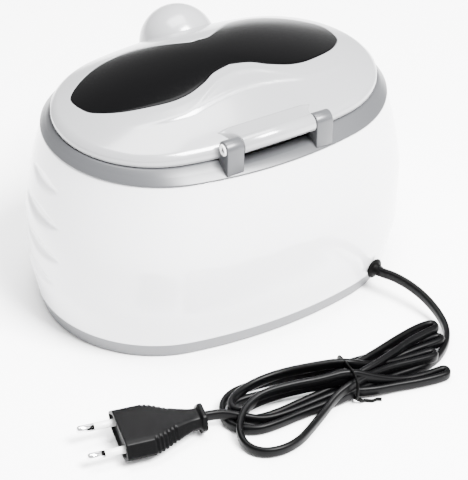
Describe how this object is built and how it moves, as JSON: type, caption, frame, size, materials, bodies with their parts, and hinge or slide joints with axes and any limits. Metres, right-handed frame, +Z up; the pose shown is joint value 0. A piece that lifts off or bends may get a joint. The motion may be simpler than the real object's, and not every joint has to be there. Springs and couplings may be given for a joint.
{
  "type": "ultrasonic cleaner",
  "caption": "Small oval bench-top ultrasonic cleaner with a hinged domed lid, smoked window, steel tank, two press buttons and a folded mains lead with flat plug.",
  "frame": {"origin": "middle of the tub's oval footprint, at the surface it stands on", "axes": "+X along the tub, +Z up, -Y to the front with the controls, hinge and mains lead at +Y"},
  "size_m": [0.2491, 0.237, 0.1398],
  "materials": {
    "white_gloss": "gloss",
    "rim_grey": "satin metallic",
    "base_grey": "matt",
    "lid_grey": "gloss",
    "smoked": "gloss, dark smoked",
    "pod_silver": "satin",
    "pin_white": "satin",
    "button_grey": "satin",
    "lens_clear": "clear",
    "rubber_black": "matt",
    "cord_black": "semi-gloss",
    "plug_black": "matt",
    "sleeve_grey": "satin",
    "nickel": "polished",
    "stainless": "drawn",
    "gasket": "matt",
    "piezo": "silvered ceramic",
    "board_green": "satin",
    "steel_screw": "zinc plated",
    "ferrite": "matt",
    "copper_tape": "lacquered winding",
    "can_blue": "sleeved",
    "film_red": "dipped",
    "x2_yellow": "moulded",
    "alu": "extruded",
    "black_epoxy": "matt",
    "fuse_glass": "clear",
    "spring_brass": "plain",
    "terminal_green": "moulded",
    "wire_red": "insulation",
    "wire_black": "insulation"
  },
  "bodies": {
    "base_unit": {"housing_shell": "white_gloss", "top_rim": "rim_grey", "base_tray": "base_grey", "foot_left_back": "rubber_black", "foot_left_front": "rubber_black", "foot_right_back": "rubber_black", "foot_right_front": "rubber_black", "hinge_pin": "pin_white", "front_pod": "pod_silver", "indicator_lens": "lens_clear", "indicator_led": "lens_clear", "on_switch": "black_epoxy", "off_switch": "black_epoxy", "control_board": "board_green", "panel_screws": "steel_screw", "tank": "stainless", "tank_gasket": "gasket", "piezo_disc": "piezo", "transducer_lead_live": "wire_red", "transducer_lead_earth": "wire_black", "generator_board": "board_green", "board_screws": "steel_screw", "case_screws": "steel_screw", "transformer_core": "ferrite", "transformer_winding": "copper_tape", "bulk_capacitor": "can_blue", "film_capacitor": "film_red", "suppressor_capacitor": "x2_yellow", "heat_sink": "alu", "power_transistor": "black_epoxy", "fuse": "fuse_glass", "fuse_clips": "spring_brass", "mains_terminal": "terminal_green", "cord_grommet": "rubber_black", "cord_lead": "cord_black", "cord_hank": "cord_black", "cord_tail": "cord_black", "cord_tie": "rubber_black", "plug_body": "plug_black", "plug_pins": "nickel", "plug_pin_sleeves": "sleeve_grey"},
    "lid": {"lid_shell": "lid_grey", "lid_window": "smoked"},
    "on_key": {"on_button": "button_grey"},
    "off_key": {"off_button": "button_grey"}
  },
  "joints": [
    {"name": "lid_hinge", "type": "hinge", "parent": "base_unit", "child": "lid", "pos_m": [0, 0.061, 0.123], "axis": [-1, 0, 0], "range_deg": [0, 100]},
    {"name": "on_button_press", "type": "slide", "parent": "base_unit", "child": "on_key", "axis": [0, 1, 0], "range_m": [0, 0.001], "stiffness_N_per_m": 300, "springref_m": -0.002},
    {"name": "off_button_press", "type": "slide", "parent": "base_unit", "child": "off_key", "axis": [0, 1, 0], "range_m": [0, 0.001], "stiffness_N_per_m": 300, "springref_m": -0.002}
  ]
}
